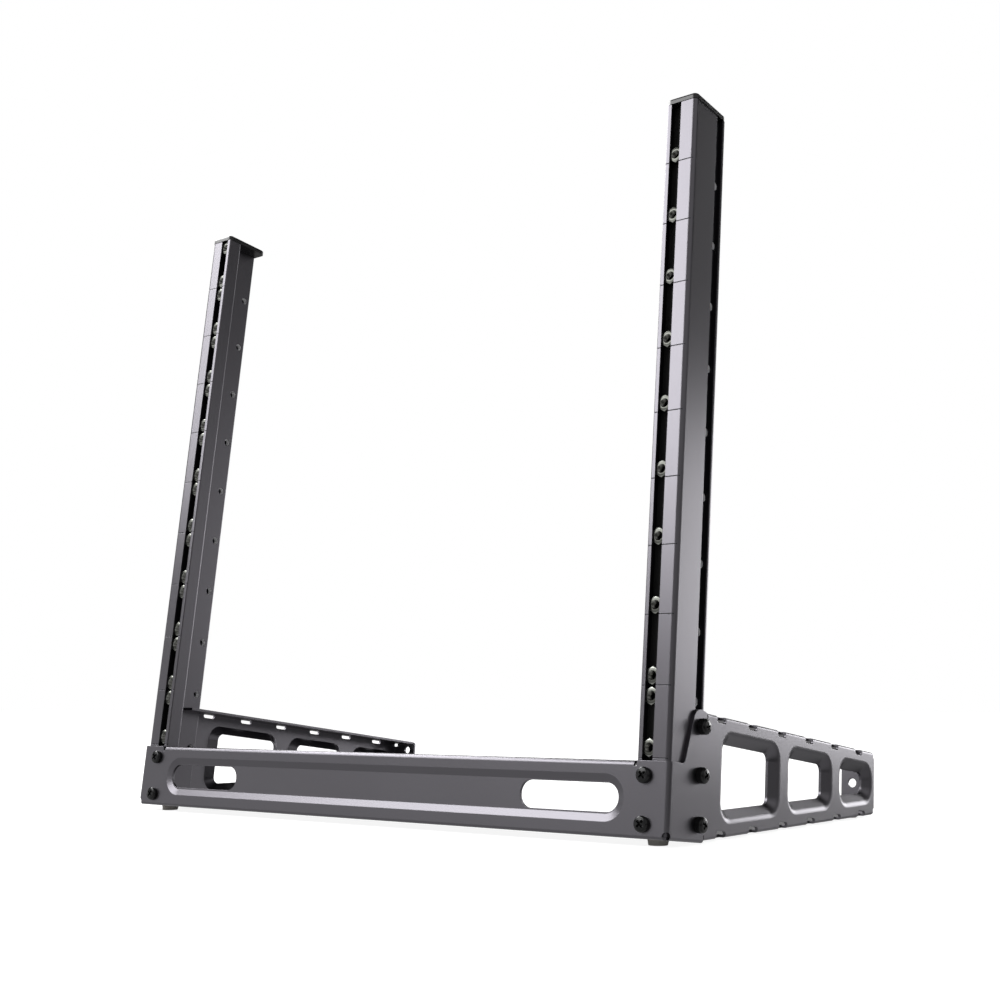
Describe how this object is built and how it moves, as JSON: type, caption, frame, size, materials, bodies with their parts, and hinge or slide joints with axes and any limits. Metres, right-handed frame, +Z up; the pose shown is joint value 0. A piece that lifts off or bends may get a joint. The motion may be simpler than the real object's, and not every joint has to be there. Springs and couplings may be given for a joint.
{
  "type": "desktop data rack",
  "caption": "Open-frame desktop rack for 19-inch equipment: two leaning slotted posts with captive nuts on a folded steel base with a front rail and two legs.",
  "frame": {"origin": "middle of the footprint at desk level", "axes": "+X to the rack's right seen from the front, +Y to the rear, +Z up; the posts lean to the rear"},
  "size_m": [0.511, 0.3146, 0.4985],
  "materials": {
    "base_paint": "fine satin powder coat, dark gunmetal grey",
    "post_anodised": "satin dark grey anodised extrusion",
    "black_plastic": "moulded black",
    "strip_black": "matt black",
    "zinc": "bright zinc plate",
    "screw_black": "black oxide",
    "rubber": "matt rubber"
  },
  "bodies": {
    "root": {"front_rail": "base_paint", "left_leg": "base_paint", "right_leg": "base_paint", "left_post": "post_anodised", "left_post_cap": "black_plastic", "left_nut_strip": "strip_black", "left_captive_nuts": "zinc", "left_front_foot": "rubber", "left_rear_pad": "rubber", "right_post": "post_anodised", "right_post_cap": "black_plastic", "right_nut_strip": "strip_black", "right_captive_nuts": "zinc", "right_front_foot": "rubber", "right_rear_pad": "rubber", "left_upper_front_screw": "screw_black", "left_lower_front_screw": "screw_black", "right_upper_front_screw": "screw_black", "right_lower_front_screw": "screw_black", "left_upper_side_screw": "screw_black", "left_middle_side_screw": "screw_black", "left_lower_side_screw": "screw_black", "right_upper_side_screw": "screw_black", "right_middle_side_screw": "screw_black", "right_lower_side_screw": "screw_black"}
  },
  "joints": []
}
